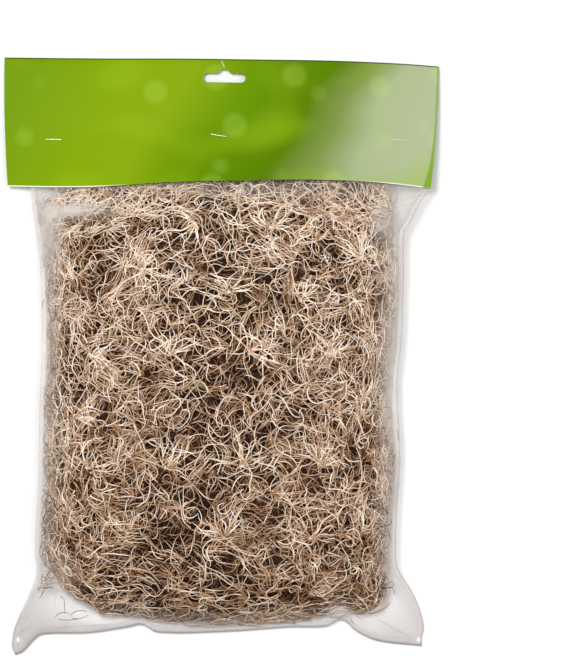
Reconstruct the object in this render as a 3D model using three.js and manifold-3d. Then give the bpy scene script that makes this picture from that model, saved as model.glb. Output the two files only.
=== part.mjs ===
// A bunch of dried Spanish moss, pressed into a clear film bag that is closed by a stapled header card.
// Millimetres, +Z up. The pack lies on its back: +X is its right-hand side and +Y points to the header card.
import * as THREE from "three";
import { mergeVertices } from "three/addons/utils/BufferGeometryUtils.js";
import Module from "manifold-3d";

const wasm = await Module();
wasm.setup();

// ---------------------------------------------------------------- driving dimensions

// Header card: one sheet, folded over the bag's mouth.
const CARD_WIDTH = 330;
const FLAP_LENGTH = 96; // from the fold to a flap's free edge
const CARD_THICKNESS = 0.6;
const CARD_COLUMNS = 14;
const CARD_ROWS = 20;
const FOLD_Y = 226;
const FOLD_Z = 2.6; // height of the fold's centre above the surface that the pack lies on
const CARD_TURN = THREE.MathUtils.degToRad(-1.2); // the card sits a little askew on the bag
const CARD_PULL_IN = 0.018; // share of the width that the bulge takes up at the free edge
const SPREAD_FROM = 0.5; // share of the flap's length at which the two flaps begin to part
const FRONT_SPREAD = 9;
const BACK_SPREAD = 17;

// Hang hole: a slot with a round hump over its middle.
const SLOT_LENGTH = 32;
const SLOT_HEIGHT = 6.9;
const SLOT_HUMP = 3.15;
const SLOT_HUMP_WIDTH = 9.2;
const SLOT_FROM_FOLD = 13.8;

// Staples: [place across the card, distance from the fold, turn in degrees].
const STAPLES = [
  [-128, 60, 0],
  [-4, 55, -8],
  [134, 56, 2],
];
const CROWN = 13;
const WIRE = 0.6;
const CLINCH = 4.6;
const LEG_HOLE = 1.5;

// Film bag.
const FILM = 0.6; // wall thickness
const NECK_HALF = 0.75; // half the bag's outer thickness where it is empty and flat
const GAP = 0.35; // kept between pieces that touch
const MOUTH_DEPTH = 21; // how far below the fold the bag's mouth ends, inside the card and clear of its slot
const FILLED_HEIGHT = 58;
const FULLNESS = 0.75; // below 1 the bag fills out sooner, inwards from its edges
const TUCK = 1.9; // how soon the underside comes down to the surface
const EMPTY_EDGE = 6; // width of the flat fin along each side
const EMPTY_FOOT = 8; // and along the foot, the welded band included
const SIDE_REACH = 50; // how far in from the fin the filling reaches its full height
const END_REACH = 60;
const NECK_Y = 176; // where the filling starts below the mouth
const NECK_REACH = 110;
const NECK_FROM = 50; // from here to NECK_BLEND further on, the bag's middle goes over to the card's
const NECK_BLEND = 70;
const FILM_SHARE = 0.75; // how much of the flaps' spread the film takes up
const FILM_LAG = 0.8;
const RELEASE = 200; // how soon past the flaps' edges the film is free of them
const SEAL = 5; // width of the welded band along the bag's foot
const SIDE_WALL = 1.5;
const MOST_SLANT = 2.5; // a steep wall measures at most this many times its thickness upright
const MOUTH_CUT = 3; // how far past the mouth's edge the hollow is cut
const VENT_RADIUS = 1.5;
const THROUGH = 60; // length of a cutter that goes through the whole pack
const BAG_COLUMNS = 16;
const BAG_ROWS = 20;

// Outline of the bag seen from above: [Y, X] down each side, [X, Y] along the foot.
const LEFT_EDGE = [
  [-226, -157], [-219, -159.5], [-204, -157], [-180, -146.5], [-164, -140.5], [-145, -141.5], [-100, -139.3],
  [-32, -137.8], [13, -136], [66, -137.5], [89, -140], [108, -142.7], [128, -145], [160, -148],
];
const RIGHT_EDGE = [
  [-218, 150], [-211, 151.5], [-196, 148], [-183, 142.5], [-168, 133.5], [-158, 130.6], [-115, 131.2],
  [-77, 133.4], [-21, 131.2], [13, 134.4], [60, 136], [98, 136.4], [105, 141.2], [119, 147.6], [129, 154],
  [160, 156],
];
const FOOT_EDGE = [
  [-157, -226], [-151, -223], [-140, -212], [-132, -209.4], [-101, -208.6], [-71, -203.6], [-61, -202],
  [-50, -209], [2, -209], [50, -204.2], [78, -202.6], [90, -197.6], [100, -205.6], [116, -214.6],
  [150, -218.4],
];
// Height of the bag's side edges above the surface, [Y, Z].
const LEFT_EDGE_HEIGHT = [[-226, 1.2], [-190, 4], [-140, 13], [0, 15], [80, 12], [129, 9]];
const RIGHT_EDGE_HEIGHT = [[-218, 1.2], [-185, 4], [-140, 13], [0, 16], [80, 18], [129, 20]];
const VENTS = [[-153, -212], [145, -211]]; // small air holes in the two bottom corners

// Moss bunch.
const MOSS_CENTRE = [-3, -22];
const MOSS_HALF_WIDTH = 124;
const MOSS_HALF_LENGTH = 166;
const SQUARENESS = 6; // power of the rounded rectangle that the bunch fills, seen from above
const MOSS_CLEARANCE = 3.9; // between the outermost strands' middle lines and the film
const SLOPE_CLEARANCE = 6; // how far ahead of the film's slope down to the card they stay
const CORE_LEVEL = 0.6; // the packed heart of the bunch, as a share of its whole depth
const CORE_COLUMNS = 10;
const CORE_ROWS = 36; // every second row is raised, so that packed strands cover the heart too
const CORE_RIDGE = 2;
const CORE_WAVE = 5;
const THINNEST = 0.5; // half the bunch's least thickness
const LAYERS = [0.8, 1]; // depths of the loose strands, on the same scale
const ROOT_DEPTH = 0.14; // how far below the core's surface a strand is rooted
const FURTHEST = 1.04; // a strand turns away before it strays further out than this
const STRAND_COUNT = 90;
const STRAND_RADIUS = 2.5;
const STRAND_GAP = 0.4;
const STRAND_STEP = 13;
const LONGEST = 24; // steps in a strand
const SHORTEST = 6;
const FREE_ENDS = 0.4; // share of the strands whose tip stays out of the core
const START_REACH = 0.94; // starts are drawn from this share of the bunch's reach
const START_CHOICES = 12; // places that are tried for each start
const TURNS = [0, 0.5, -0.5, 1, -1]; // radians by which a strand turns aside to keep clear
const SEED = 20261;

// ---------------------------------------------------------------- small tools

const mix = (a, b, share) => a + (b - a) * share;
const clamp01 = (value) => Math.min(1, Math.max(0, value));
const swell = (distance, reach) => Math.sin((clamp01(distance / reach) * Math.PI) / 2);

// A smooth function through [place, value] pairs in rising order of place, level beyond both ends.
function through(pairs) {
  const last = pairs.length - 1;
  const slopes = pairs.map((_, k) => {
    const [before, after] = [pairs[Math.max(0, k - 1)], pairs[Math.min(last, k + 1)]];
    return (after[1] - before[1]) / (after[0] - before[0]);
  });
  return (place) => {
    if (place <= pairs[0][0]) return pairs[0][1];
    if (place >= pairs[last][0]) return pairs[last][1];
    let i = 0;
    while (pairs[i + 1][0] < place) i++;
    const width = pairs[i + 1][0] - pairs[i][0];
    const rise = pairs[i + 1][1] - pairs[i][1];
    const k = (place - pairs[i][0]) / width;
    const [fromStart, fromEnd] = [slopes[i] * width, slopes[i + 1] * width];
    return pairs[i][1] + k * fromStart + k * k * (3 * rise - 2 * fromStart - fromEnd)
      + k * k * k * (fromStart + fromEnd - 2 * rise);
  };
}

// A repeatable stream of numbers from 0 to 1.
function seeded(seed) {
  let state = seed;
  return () => {
    state = (state + 0x6d2b79f5) | 0;
    let mixed = Math.imul(state ^ (state >>> 15), 1 | state);
    mixed = (mixed + Math.imul(mixed ^ (mixed >>> 7), 61 | mixed)) ^ mixed;
    return ((mixed ^ (mixed >>> 14)) >>> 0) / 4294967296;
  };
}

// A three.js geometry with only its positions, its shared corners merged.
function welded(geometry) {
  geometry.deleteAttribute("normal");
  geometry.deleteAttribute("uv");
  return mergeVertices(geometry, 1e-4);
}

function solidOf(geometry) {
  const closed = welded(geometry);
  return new wasm.Manifold(
    new wasm.Mesh({
      numProp: 3,
      vertProperties: closed.attributes.position.array,
      triVerts: new Uint32Array(closed.index.array),
    }),
  );
}

function geometryOf(solid) {
  const { vertProperties, triVerts } = solid.getMesh();
  return new THREE.BufferGeometry()
    .setAttribute("position", new THREE.BufferAttribute(new Float32Array(vertProperties), 3))
    .setIndex(new THREE.BufferAttribute(new Uint32Array(triVerts), 1));
}

// A closed block, one cell thick, whose corners shape(u, v, w) puts in place: u, v and w run from -1 to 1.
function formed(across, along, shape) {
  const block = welded(new THREE.BoxGeometry(2, 2, 2, across, along, 1));
  const corner = block.attributes.position;
  for (let i = 0; i < corner.count; i++) {
    corner.setXYZ(i, ...shape(corner.getX(i), corner.getY(i), corner.getZ(i)));
  }
  return solidOf(block);
}

// ---------------------------------------------------------------- the neck, where the card holds the bag

// How high the neck has risen at the flaps' free edge, and how far the flaps bulge, across the card.
const neckRise = through([[-165, 5], [-110, 11], [-40, 20], [40, 23], [110, 21], [165, 17]]);
const neckBulge = through(
  [[-165, 0.02], [-120, 0.25], [-50, 0.8], [40, 1], [100, 0.75], [145, 0.2], [165, 0.05]],
);

const neckHeight = (x, share) => FOLD_Z + neckRise(x) * share;
const partedAt = (share) => Math.max(0, (share - SPREAD_FROM) / (1 - SPREAD_FROM)) ** 2;
const frontSpread = (x, share) => FRONT_SPREAD * neckBulge(x) * partedAt(share);
const backSpread = (x, share) => BACK_SPREAD * neckBulge(x) * partedAt(share);

// How far from the fold, seen from above, a share of the front flap's length reaches as the flap climbs.
function laidReach(x, share) {
  const pieces = 8;
  let reach = 0;
  for (let i = 0; i < pieces; i++) {
    const [from, to] = [(share * i) / pieces, (share * (i + 1)) / pieces];
    const climb = neckHeight(x, to) + frontSpread(x, to) - neckHeight(x, from) - frontSpread(x, from);
    reach += Math.sqrt(Math.max(0, ((to - from) * FLAP_LENGTH) ** 2 - climb ** 2));
  }
  return reach;
}

// The share of the flap's length over a point this far from the fold: more than 1 past its free edge.
function flapShare(x, distance) {
  const beyond = distance - laidReach(x, 1);
  if (beyond > 0) return 1 + beyond / FLAP_LENGTH;
  let share = distance / FLAP_LENGTH;
  for (let i = 0; i < 4; i++) share += (distance - laidReach(x, share)) / FLAP_LENGTH;
  return share;
}

// Between the pack's own X and Y and those of the askew card.
const foldCentre = new THREE.Vector2(0, FOLD_Y);
const toCard = (x, y) => new THREE.Vector2(x, y).rotateAround(foldCentre, -CARD_TURN);
const fromCard = (x, y) => new THREE.Vector2(x, y).rotateAround(foldCentre, CARD_TURN);

// ---------------------------------------------------------------- the filled bag's surface

const leftEdge = through(LEFT_EDGE);
const rightEdge = through(RIGHT_EDGE);
const footEdge = through(FOOT_EDGE);
const leftHeight = through(LEFT_EDGE_HEIGHT);
const rightHeight = through(RIGHT_EDGE_HEIGHT);

const lumps = (x, y) =>
  2.2 * Math.sin(x / 31 + 1) * Math.cos(y / 37 + 0.5) + 1.3 * Math.sin((x + y) / 25 + 2);

// The filled part's top and underside over a point, round a middle height.
function filled(x, y, middle, fromSide) {
  const fill = swell(fromSide - EMPTY_EDGE, SIDE_REACH) ** FULLNESS
    * swell(y - footEdge(x) - EMPTY_FOOT, END_REACH) ** FULLNESS
    * swell(NECK_Y - y, NECK_REACH);
  const empty = middle + NECK_HALF;
  const top = empty + (FILLED_HEIGHT + lumps(x, y) - empty) * fill;
  return { middle, top, under: Math.max(0, (middle - NECK_HALF) * (1 - TUCK * fill)) };
}

// Outer surfaces of the film over a point: its middle, top and underside heights.
function filmAt(x, y) {
  const [left, right] = [leftEdge(y), rightEdge(y)];
  const body = Math.max(mix(leftHeight(y), rightHeight(y), clamp01((x - left) / (right - left))), NECK_HALF);
  const fromSide = Math.min(x - left, right - x);
  if (y < NECK_FROM) return filled(x, y, body, fromSide);

  const card = toCard(x, y);
  const share = flapShare(card.x, FOLD_Y - card.y);
  const nearby = neckHeight(card.x, Math.min(share, 1));
  const film = filled(x, y, mix(body, nearby, clamp01((y - NECK_FROM) / NECK_BLEND)), fromSide);
  const neck = neckHeight(card.x, share);
  const release = RELEASE * Math.max(0, share - 1) ** 2;
  const half = (spread) => NECK_HALF + Math.max(0, FILM_SHARE * spread - FILM_LAG) + release;
  return {
    middle: film.middle,
    top: Math.min(film.top, neck + half(frontSpread(card.x, share))),
    under: Math.max(film.under, neck - half(backSpread(card.x, share))),
  };
}

// Where a column (-1 to 1) and a row (0 at the foot, 1 at the mouth) of the bag lie, seen from above.
function bagPlan(column, row) {
  const level = mix(LEFT_EDGE[0][0], FOLD_Y - MOUTH_DEPTH, row);
  const [left, right] = [leftEdge(level), rightEdge(level)];
  const x = mix(left, right, (column + 1) / 2);
  const foot = footEdge(mix(FOOT_EDGE[0][0], FOOT_EDGE[FOOT_EDGE.length - 1][0], (column + 1) / 2));
  return { x, y: mix(foot, fromCard(x, FOLD_Y - MOUTH_DEPTH).y, row), left, right, foot };
}

// Columns stand closer together towards the sides; rows towards the foot and under the card's free edge.
const closerColumns = (u) => Math.sin((u * Math.PI) / 2);
const bagRows = through([[0, 0], [0.1, 0.03], [0.3, 0.17], [0.6, 0.61], [0.7, 0.76], [0.9, 0.91], [1, 1]]);

// How much higher than its thickness a wall measures where the surface slopes.
function slant(side, x, y) {
  const rise = (dx, dy) => (filmAt(x + dx, y + dy)[side] - filmAt(x - dx, y - dy)[side]) / 2;
  return Math.min(Math.hypot(1, rise(1, 0), rise(0, 1)), MOST_SLANT);
}

function bag(cuts) {
  const outside = formed(BAG_COLUMNS, BAG_ROWS, (u, v, w) => {
    const { x, y } = bagPlan(closerColumns(u), bagRows((v + 1) / 2));
    return [x, y, filmAt(x, y)[w > 0 ? "top" : "under"]];
  });
  const inside = formed(BAG_COLUMNS, BAG_ROWS, (u, v, w) => {
    const plan = bagPlan(closerColumns(u), bagRows((v + 1) / 2));
    const x = Math.min(Math.max(plan.x, plan.left + SIDE_WALL), plan.right - SIDE_WALL);
    const y = Math.max(plan.y, plan.foot + SEAL);
    const side = w > 0 ? "top" : "under";
    const z = filmAt(x, y)[side] - w * FILM * slant(side, x, y);
    return [x, v === 1 ? y + MOUTH_CUT : y, z];
  });
  const vent = new THREE.CylinderGeometry(VENT_RADIUS, VENT_RADIUS, THROUGH, 8).rotateX(Math.PI / 2);
  const vents = VENTS.map(([x, y]) => solidOf(vent.clone().translate(x, y, 0)));
  return [inside, ...vents, ...cuts].reduce((whole, cut) => whole.subtract(cut), outside);
}

// ---------------------------------------------------------------- header card

// Rows of the sheet stand close together in the fold, and again where the flaps part.
const cardRows = through([[0, 0], [0.1, 0.011], [0.2, 0.022], [0.3, 0.25], [0.4, 0.5], [0.5, 0.6], [1, 1]]);

function headerCard(cuts) {
  const fold = NECK_HALF + GAP + CARD_THICKNESS / 2; // the fold's radius, along the middle of the sheet
  const sheet = formed(CARD_COLUMNS, CARD_ROWS, (u, v, w) => {
    const share = cardRows(Math.abs(v)); // the front flap is where v is below 0
    const x = (u * CARD_WIDTH * (1 - CARD_PULL_IN * share * share)) / 2;
    const turn = Math.min((share * FLAP_LENGTH) / fold, Math.PI / 2);
    const spread = v < 0 ? frontSpread(x, share) : backSpread(x, share);
    const skin = fold + (w * CARD_THICKNESS) / 2;
    const laid = laidReach(x, share) - fold * turn - skin * Math.cos(turn) + fold;
    const place = fromCard(x, FOLD_Y - laid);
    return [place.x, place.y, neckHeight(x, share) - Math.sign(v) * (skin * Math.sin(turn) + spread)];
  });
  return cuts.reduce((whole, cut) => whole.subtract(cut), sheet);
}

function slotCutter() {
  const [end, half] = [SLOT_HEIGHT / 2, (SLOT_LENGTH - SLOT_HEIGHT) / 2];
  const hump = SLOT_HUMP_WIDTH / 2;
  const radius = (hump ** 2 + SLOT_HUMP ** 2) / (2 * SLOT_HUMP);
  const centre = end + SLOT_HUMP - radius;
  const rise = Math.asin((end - centre) / radius);
  const slot = new THREE.Shape();
  slot.moveTo(-half, -end).lineTo(half, -end);
  slot.absarc(half, 0, end, -Math.PI / 2, Math.PI / 2);
  slot.absarc(0, centre, radius, rise, Math.PI - rise);
  slot.absarc(-half, 0, end, Math.PI / 2, (3 * Math.PI) / 2);
  const block = new THREE.ExtrudeGeometry(slot, { depth: THROUGH, bevelEnabled: false, curveSegments: 6 });
  const place = fromCard(0, FOLD_Y - SLOT_FROM_FOLD);
  return solidOf(block.rotateZ(CARD_TURN).translate(place.x, place.y, -THROUGH / 2));
}

// ---------------------------------------------------------------- staples

// The neck's own frame at a staple: X along its crown, Z out of the front flap.
function stapleFrame([x, fromFold, degrees]) {
  const point = (px, distance) => {
    const place = fromCard(px, FOLD_Y - distance);
    return new THREE.Vector3(place.x, place.y, neckHeight(px, flapShare(px, distance)));
  };
  const origin = point(x, fromFold);
  const right = point(x + 1, fromFold).sub(origin).normalize();
  const out = right.clone().cross(point(x, fromFold - 1).sub(origin)).normalize();
  right.applyAxisAngle(out, THREE.MathUtils.degToRad(degrees));
  return new THREE.Matrix4().makeBasis(right, out.clone().cross(right), out).setPosition(origin);
}

// A wire bent into a flat C: crown over the front flap, legs through, ends clinched behind the back flap.
function stapleGeometry([x, fromFold]) {
  const skin = NECK_HALF + GAP + CARD_THICKNESS + GAP;
  const share = flapShare(x, fromFold + 4);
  const [front, back] = [skin + frontSpread(x, share), skin + backSpread(x, share)];
  const [outer, inner] = [CROWN / 2, CROWN / 2 - WIRE];
  const outline = new THREE.Shape([
    [-outer, front + WIRE], [-outer, -back - WIRE], [CLINCH - outer, -back - WIRE], [CLINCH - outer, -back],
    [-inner, -back], [-inner, front], [inner, front], [inner, -back],
    [outer - CLINCH, -back], [outer - CLINCH, -back - WIRE], [outer, -back - WIRE], [outer, front + WIRE],
  ].map(([px, py]) => new THREE.Vector2(px, py)));
  const wire = new THREE.ExtrudeGeometry(outline, { depth: WIRE, bevelEnabled: false });
  return wire.rotateX(Math.PI / 2).translate(0, WIRE / 2, 0);
}

function legHoles(staple) {
  return [-1, 1].map((side) =>
    solidOf(new THREE.BoxGeometry(LEG_HOLE, LEG_HOLE, 16)
      .translate((side * (CROWN - WIRE)) / 2, 0, 0)
      .applyMatrix4(stapleFrame(staple))));
}

// ---------------------------------------------------------------- moss bunch

// The space for moss over a point, and how deep in the bunch a place is: 1 on its skin, 0 at its heart.
function mossSpace(x, y) {
  const [here, ahead] = [filmAt(x, y), filmAt(x, y + SLOPE_CLEARANCE)];
  const [top, under] = [Math.min(here.top, ahead.top), Math.max(here.under, ahead.under)];
  return { middle: (top + under) / 2, half: Math.max(THINNEST, (top - under) / 2 - FILM - MOSS_CLEARANCE) };
}

function depthAt(point) {
  const { middle, half } = mossSpace(point.x, point.y);
  const a = Math.abs(point.x - MOSS_CENTRE[0]) / MOSS_HALF_WIDTH;
  const b = Math.abs(point.y - MOSS_CENTRE[1]) / MOSS_HALF_LENGTH;
  return Math.sqrt(a ** SQUARENESS + b ** SQUARENESS + ((point.z - middle) / half) ** 2);
}

function depthSlope(point) {
  const [here, step] = [depthAt(point), 0.4];
  const rise = (x, y, z) => (depthAt(new THREE.Vector3(point.x + x, point.y + y, point.z + z)) - here) / step;
  return new THREE.Vector3(rise(step, 0, 0), rise(0, step, 0), rise(0, 0, step));
}

// Moves a point along the slope until it lies at that depth.
function settle(point, depth) {
  for (let i = 0; i < 4; i++) {
    const slope = depthSlope(point);
    const move = (depth - depthAt(point)) / Math.max(1e-4, slope.lengthSq());
    const longest = 6 / Math.max(1e-3, slope.length());
    point.addScaledVector(slope, Math.min(Math.max(move, -longest), longest));
  }
  return point;
}

// The heart of the bunch: every point of the block goes out to where the rounded rectangle's edge would be.
function mossCore() {
  const power = (a, b) => Math.abs(a) ** SQUARENESS + Math.abs(b) ** SQUARENESS;
  const rim = CORE_LEVEL ** (2 / SQUARENESS);
  return formed(CORE_COLUMNS, CORE_ROWS, (u, v, w) => {
    const column = closerColumns(u);
    const toRim = power(column, v) ** (1 / SQUARENESS) || 1;
    const outward = (rim * Math.max(Math.abs(column), Math.abs(v))) / toRim;
    const [a, b] = [column * outward, v * outward];
    const inner = Math.max(0, 1 - power(a, b) / CORE_LEVEL ** 2);
    const x = MOSS_CENTRE[0] + a * MOSS_HALF_WIDTH;
    const wave = CORE_WAVE * inner * Math.sin(x / 13 + 2 * Math.sin(v * 9));
    const y = MOSS_CENTRE[1] + b * MOSS_HALF_LENGTH + wave;
    const { middle, half } = mossSpace(x, y);
    const raised = Math.round(((v + 1) * CORE_ROWS) / 2) % 2 ? CORE_RIDGE : -CORE_RIDGE;
    const thick = half * CORE_LEVEL * Math.sqrt(inner) + raised * inner * Math.cos(x / 29 + v * 5);
    return [x, y, middle + w * Math.max(THINNEST, thick)];
  });
}

// A place on the bunch, drawn evenly over the faces of the box round it.
function anyPlace(random) {
  const [width, length, height] = [2 * MOSS_HALF_WIDTH, 2 * MOSS_HALF_LENGTH, FILLED_HEIGHT];
  const faces = [["z", width * length], ["x", length * height], ["y", width * height]];
  let pick = random() * faces.reduce((sum, face) => sum + face[1], 0);
  const axis = faces.find((face) => (pick -= face[1]) < 0)[0];
  const share = { x: random() * 2 - 1, y: random() * 2 - 1, z: random() * 2 - 1 };
  share[axis] = Math.sign(share[axis]);
  const x = MOSS_CENTRE[0] + START_REACH * share.x * MOSS_HALF_WIDTH;
  const y = MOSS_CENTRE[1] + START_REACH * share.y * MOSS_HALF_LENGTH;
  const { middle, half } = mossSpace(x, y);
  return new THREE.Vector3(x, y, middle + share.z * half);
}

// The emptiest of a few places, put at the depth where a strand is rooted.
function strandStart(random, taken) {
  const places = Array.from({ length: START_CHOICES }, () => anyPlace(random));
  const room = places.map((place) => taken.nearest(settle(place, CORE_LEVEL - ROOT_DEPTH)));
  return places[room.indexOf(Math.max(...room))];
}

// Points along the strands that are already placed, and how far apart two strands stay.
class Taken {
  constructor(apart) {
    this.apart = apart;
    this.points = [];
  }

  nearest(place) {
    return Math.min(Infinity, ...this.points.map((point) => point.distanceTo(place)));
  }

  isFree(place, own) {
    return [...own, ...this.points].every((point) => point.distanceToSquared(place) > this.apart ** 2);
  }
}

// Where a strand's next point may lie: the first of a few turns that keeps clear of what is there already.
function nextPoint(line, heading, curl, level, taken, random) {
  const last = line[line.length - 1];
  const halfway = (point, i) => [point, point.clone().lerp(line[i + 1], 0.5)];
  const own = line.slice(0, -1).flatMap(halfway).slice(0, -1);
  const out = depthSlope(last).normalize();
  const step = STRAND_STEP * mix(0.85, 1.1, random());
  return TURNS.map((more) => {
    const ahead = heading.clone().applyAxisAngle(out, curl + more);
    ahead.addScaledVector(out, -ahead.dot(out)).normalize();
    return settle(last.clone().addScaledVector(ahead, step), level);
  }).find((end) => depthAt(end) < FURTHEST
    && [0.33, 0.66, 1].every((share) => taken.isFree(last.clone().lerp(end, share), own)));
}

// One curling strand's middle line. It leaves the core and wanders at its own depth round what lies there,
// then dives back into the core or ends free. It comes back empty where there is no room for it.
function strandLine(random, depth, taken) {
  const line = [strandStart(random, taken)];
  const heading = new THREE.Vector3(random() - 0.5, random() - 0.5, random() - 0.5).normalize();
  const [sway, phase, pace] = [mix(0.3, 0.8, random()), 2 * Math.PI * random(), mix(0.2, 0.7, random())];
  while (line.length <= LONGEST) {
    const curl = sway * Math.sin(phase + pace * line.length);
    const next = nextPoint(line, heading, curl, depth + (random() - 0.5) * 0.03, taken, random);
    if (!next) break;
    heading.copy(next).sub(line[line.length - 1]).normalize();
    line.push(next);
  }
  if (line.length < SHORTEST) return [];
  if (random() > FREE_ENDS) settle(line[line.length - 1], CORE_LEVEL - ROOT_DEPTH);
  return line;
}

function strandSolid(line) {
  const corner = (angle) => new THREE.Vector2(Math.cos(angle), Math.sin(angle)).multiplyScalar(STRAND_RADIUS);
  const section = new THREE.Shape([0, 1, 2].map((k) => corner((k * 2 * Math.PI) / 3)));
  return solidOf(new THREE.ExtrudeGeometry(section, {
    steps: line.length - 1,
    bevelEnabled: false,
    extrudePath: new THREE.CatmullRomCurve3(line),
  }));
}

// The largest body of a fused solid: loose scraps go, and sealed hollows are filled.
function largestBody(solid) {
  return solid.decompose().reduce((best, body) => (body.volume() > best.volume() ? body : best));
}

// Strands lie in two layers, so that those of the upper one cross over those of the lower one.
function mossBunch() {
  const random = seeded(SEED);
  const taken = new Taken(2 * STRAND_RADIUS + STRAND_GAP);
  const strands = [];
  for (let tries = 0; strands.length < STRAND_COUNT && tries < 40 * STRAND_COUNT; tries++) {
    const line = strandLine(random, LAYERS[strands.length % LAYERS.length], taken);
    if (!line.length) continue;
    taken.points.push(...new THREE.CatmullRomCurve3(line).getSpacedPoints(3 * line.length));
    strands.push(strandSolid(line));
  }
  return largestBody(wasm.Manifold.union([mossCore(), ...strands]));
}

// ---------------------------------------------------------------- the pack

const moss = new THREE.MeshStandardMaterial({ color: 0xa08a68, roughness: 0.9, metalness: 0 });
const film = new THREE.MeshStandardMaterial({
  color: 0xe6e2de, roughness: 0.2, metalness: 0, transparent: true, opacity: 0.3,
});
const print = new THREE.MeshStandardMaterial({ color: 0x74a012, roughness: 0.45, metalness: 0 });
const steel = new THREE.MeshStandardMaterial({ color: 0xb8bab8, roughness: 0.35, metalness: 1 });

const pack = new THREE.Group();

function place(name, geometry, material) {
  const mesh = new THREE.Mesh(geometry, material);
  mesh.name = name;
  pack.add(mesh);
  return mesh;
}

const holes = STAPLES.flatMap(legHoles);
place("moss_bunch", geometryOf(mossBunch()), moss);
place("film_bag", geometryOf(bag(holes)), film);
place("header_card", geometryOf(headerCard([slotCutter(), ...holes])), print);
STAPLES.forEach((staple, i) => {
  place(`staple_${i + 1}`, stapleGeometry(staple), steel).applyMatrix4(stapleFrame(staple));
});

// The origin is the middle of the rectangle that the pack covers, on the surface that it lies on.
const reach = new THREE.Box3().setFromObject(pack, true);
const middle = reach.getCenter(new THREE.Vector3());
pack.position.set(-middle.x, -middle.y, -reach.min.z);

export default pack;
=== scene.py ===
# %% [markdown]
# # A bag of dried Spanish moss
#
# Spanish moss is an air plant. Its dried stems are wiry, grey-brown and curled, and they hold together as one
# springy mat. Here the mat is pressed into a clear bag, and a printed card is folded over the bag's mouth and
# stapled. We model four things: the tangle, the film round it, the card and the three staples.
#
# The CAD model fixes every size and place. It is loaded first, and nothing in it is moved.

# %% Load the frame
import math

import bpy
import numpy as np
from mathutils import Matrix, Vector, noise


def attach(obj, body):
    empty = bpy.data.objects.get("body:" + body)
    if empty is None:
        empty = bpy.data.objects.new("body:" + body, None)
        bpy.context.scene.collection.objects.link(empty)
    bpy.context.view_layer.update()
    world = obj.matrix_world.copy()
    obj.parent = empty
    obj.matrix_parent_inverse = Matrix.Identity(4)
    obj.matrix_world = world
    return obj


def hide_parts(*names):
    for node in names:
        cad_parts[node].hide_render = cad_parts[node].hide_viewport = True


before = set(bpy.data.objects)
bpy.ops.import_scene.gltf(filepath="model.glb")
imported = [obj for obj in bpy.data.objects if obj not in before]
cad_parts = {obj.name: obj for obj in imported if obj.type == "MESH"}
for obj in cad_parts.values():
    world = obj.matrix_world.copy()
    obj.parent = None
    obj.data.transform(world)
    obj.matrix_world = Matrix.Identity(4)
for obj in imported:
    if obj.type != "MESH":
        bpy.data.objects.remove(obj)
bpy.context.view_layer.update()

# %% [markdown]
# ## Units and small helpers
#
# A bag is easier to think about in millimetres, so each surface is worked out in them, in the pack's own
# coordinates. One function turns points into metres and moves them to the frame's origin, thousands at once.

# %% Helpers for points and meshes
MM = 0.001
ORIGIN = np.array([0.1467, -1.8777, 0.0])  # where the pack's own origin lies in the frame, in mm


def corners_of(piece):
    """The corners of a mesh object as rows of x, y and z."""
    flat = np.empty(3 * len(piece.data.vertices))
    piece.data.vertices.foreach_get("co", flat)
    return flat.reshape(-1, 3)


def in_frame(points):
    """Turns points in mm, in the pack's coordinates, into metres in the frame."""
    return (np.asarray(points) + ORIGIN) * MM


def put_corners(piece, points):
    """Moves the corners of a mesh object to these points, given in mm."""
    piece.data.vertices.foreach_set("co", in_frame(points).ravel())
    piece.data.update()


def select_only(piece):
    bpy.ops.object.select_all(action="DESELECT")
    piece.select_set(True)
    bpy.context.view_layer.objects.active = piece


def smooth(piece):
    select_only(piece)
    bpy.ops.object.shade_smooth()
    return piece


def add_line(curve, points, closed=False):
    """Adds a line through points, in metres, to a curve."""
    line = curve.splines.new("POLY")
    line.points.add(len(points) - 1)
    line.points.foreach_set("co", np.column_stack([points, np.ones(len(points))]).ravel())
    line.use_cyclic_u = closed
    return line


def placed(curve):
    """Puts a curve in the scene as an object of the same name."""
    piece = bpy.data.objects.new(curve.name, curve)
    bpy.context.collection.objects.link(piece)
    return piece


def mesh_from(curve):
    select_only(placed(curve))
    bpy.ops.object.convert(target="MESH")
    return bpy.context.object


def slab(name, across, along):
    """A closed block from -1 to 1, with a grid of cells on its two faces."""
    bpy.ops.object.select_all(action="DESELECT")
    bpy.ops.mesh.primitive_grid_add(x_subdivisions=across, y_subdivisions=along, size=2)
    piece = bpy.context.object
    piece.name = piece.data.name = name
    bpy.ops.object.mode_set(mode="EDIT")
    bpy.ops.mesh.select_all(action="SELECT")
    bpy.ops.transform.translate(value=(0, 0, -1))
    bpy.ops.mesh.extrude_region_move(TRANSFORM_OT_translate={"value": (0, 0, 2)})
    bpy.ops.mesh.select_all(action="SELECT")
    bpy.ops.mesh.normals_make_consistent(inside=False)
    bpy.ops.object.mode_set(mode="OBJECT")
    return piece


def curve_through(pairs):
    """A smooth function through (place, value) pairs in rising order of place, level beyond both ends."""
    at, value = np.array(pairs, float).T
    first, last = np.arange(-1, len(at) - 1).clip(0), np.arange(1, len(at) + 1).clip(0, len(at) - 1)
    slope = (value[last] - value[first]) / (at[last] - at[first])

    def curve(place):
        place = np.clip(place, at[0], at[-1])
        i = np.clip(np.searchsorted(at, place) - 1, 0, len(at) - 2)
        width, rise = at[i + 1] - at[i], value[i + 1] - value[i]
        k, start, end = (place - at[i]) / width, slope[i] * width, slope[i + 1] * width
        return value[i] + k * start + k**2 * (3 * rise - 2 * start - end) + k**3 * (start + end - 2 * rise)

    return curve


def mix(a, b, share):
    return a + (b - a) * share


def climb(value, start, reach):
    """0 up to the start and 1 from a reach beyond it, straight between."""
    return np.clip((value - start) / reach, 0, 1)


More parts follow.
